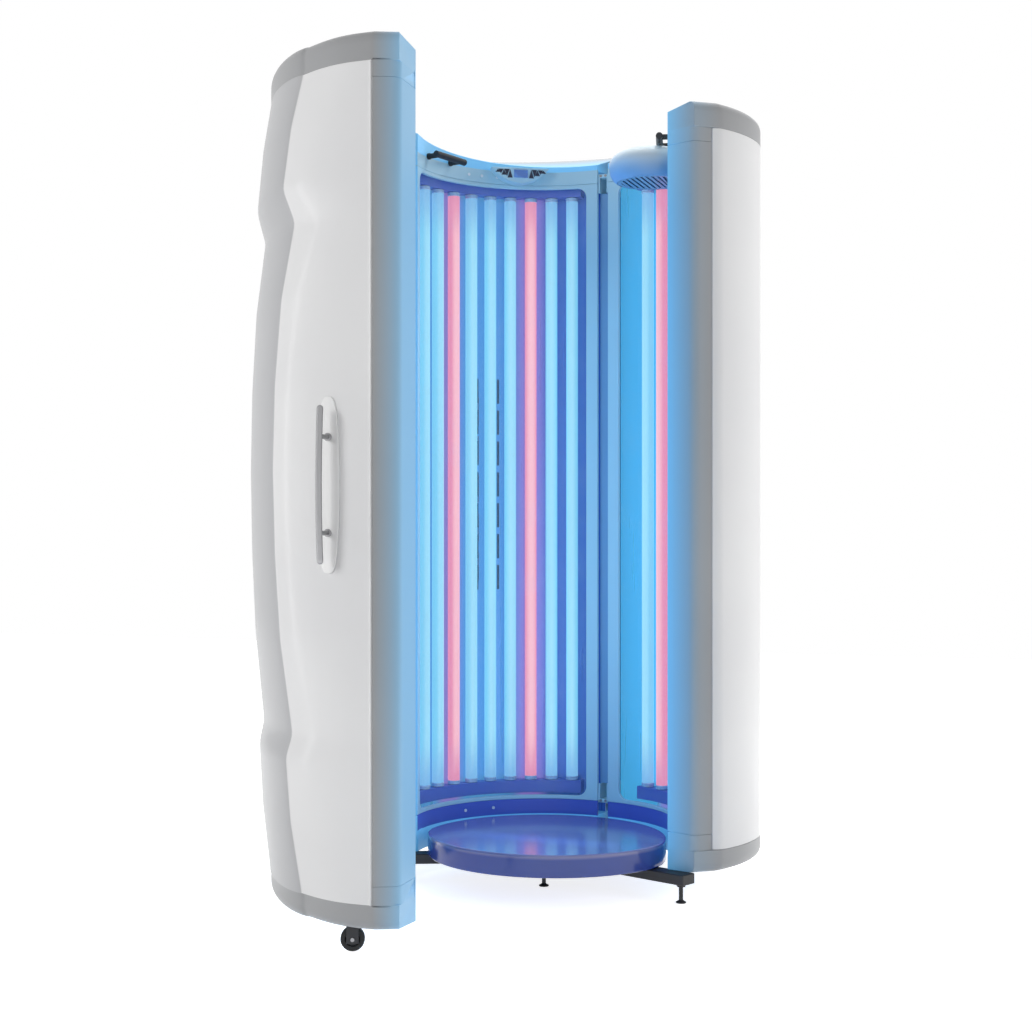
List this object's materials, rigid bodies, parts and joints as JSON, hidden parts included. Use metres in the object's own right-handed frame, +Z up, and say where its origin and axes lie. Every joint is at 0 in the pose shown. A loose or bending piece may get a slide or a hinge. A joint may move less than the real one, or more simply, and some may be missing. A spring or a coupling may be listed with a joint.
{
  "type": "vertical tanning booth",
  "caption": "Stand-up tanning booth: a lamp-lined rear half on a levelled base with platform, fan pod, console and grab bars, and a hinged lamp-lined door on a caster.",
  "frame": {"origin": "the booth's axis on the floor, under the centre levelling foot", "axes": "+Z up, entrance facing -Y, door hinged on the -X side"},
  "size_m": [1.2903, 1.6666, 2.277],
  "materials": {
    "white_shell": "satin moulded shell",
    "grey_trim": "satin grey moulding",
    "blue_frame": "satin paint lit by the lamps",
    "acrylic": "clear acrylic sheet",
    "reflector": "bright rolled sheet",
    "uv_lamp": "lit tube",
    "pink_lamp": "lit tube",
    "platform": "glossy standing plate",
    "display": "dark display window",
    "steel": "brushed",
    "black_metal": "black powder coat",
    "black_plastic": "fine texture",
    "black_rubber": "matt"
  },
  "bodies": {
    "cabin": {"base_frame": "black_metal", "base_platform": "platform", "console_display": "display", "console_housing": "blue_frame", "fan_grille": "grey_trim", "fan_motor": "black_plastic", "fan_pod": "white_shell", "left_grip": "black_plastic", "levelling_foot_centre": "black_metal", "levelling_foot_front_left": "black_metal", "levelling_foot_front_right": "black_metal", "levelling_foot_rear": "black_metal", "lower_hinge_pin_bracket": "steel", "rear_joint_bottom_bracket": "blue_frame", "rear_joint_channel": "blue_frame", "rear_joint_top_bracket": "blue_frame", "rear_left_acrylic": "acrylic", "rear_left_bottom_cap": "grey_trim", "rear_left_frame": "blue_frame", "rear_left_lamp_bank": "uv_lamp", "rear_left_panel": "white_shell", "rear_left_pillar": "grey_trim", "rear_left_pink_lamp_1": "pink_lamp", "rear_left_pink_lamp_2": "pink_lamp", "rear_left_reflector": "reflector", "rear_left_top_cap": "grey_trim", "rear_right_acrylic": "acrylic", "rear_right_bottom_cap": "grey_trim", "rear_right_frame": "blue_frame", "rear_right_lamp_bank": "uv_lamp", "rear_right_panel": "white_shell", "rear_right_pillar": "grey_trim", "rear_right_pink_lamp_1": "pink_lamp", "rear_right_pink_lamp_2": "pink_lamp", "rear_right_reflector": "reflector", "rear_right_top_cap": "grey_trim", "right_grip": "black_plastic", "upper_hinge_pin_bracket": "steel"},
    "door": {"caster_axle": "steel", "caster_fork": "black_metal", "door_acrylic": "acrylic", "door_bottom_cap": "grey_trim", "door_frame": "blue_frame", "door_free_pillar": "grey_trim", "door_hinge_pillar": "grey_trim", "door_lamp_bank": "uv_lamp", "door_panel": "white_shell", "door_pink_lamp_1": "pink_lamp", "door_pink_lamp_2": "pink_lamp", "door_reflector": "reflector", "door_top_cap": "grey_trim", "handle_bar": "steel", "handle_plate": "white_shell", "lower_hinge_door_bracket": "steel", "upper_hinge_door_bracket": "steel"},
    "wheel": {"caster_wheel": "black_rubber"},
    "fan": {"fan_rotor": "black_plastic"}
  },
  "joints": [
    {"name": "door_hinge", "type": "hinge", "parent": "cabin", "child": "door", "pos_m": [-0.529, -0.09, 0.4], "axis": [0, 0, 1], "range_deg": [-35, 61]},
    {"name": "caster_spin", "type": "hinge", "parent": "door", "child": "wheel", "pos_m": [-0.21798, -0.86544, 0.031], "axis": [0.3723, -0.9281, 0], "continuous": true},
    {"name": "fan_spin", "type": "hinge", "parent": "cabin", "child": "fan", "pos_m": [0.30068, 0.10353, 2.15], "axis": [0, 0, 1], "continuous": true}
  ]
}
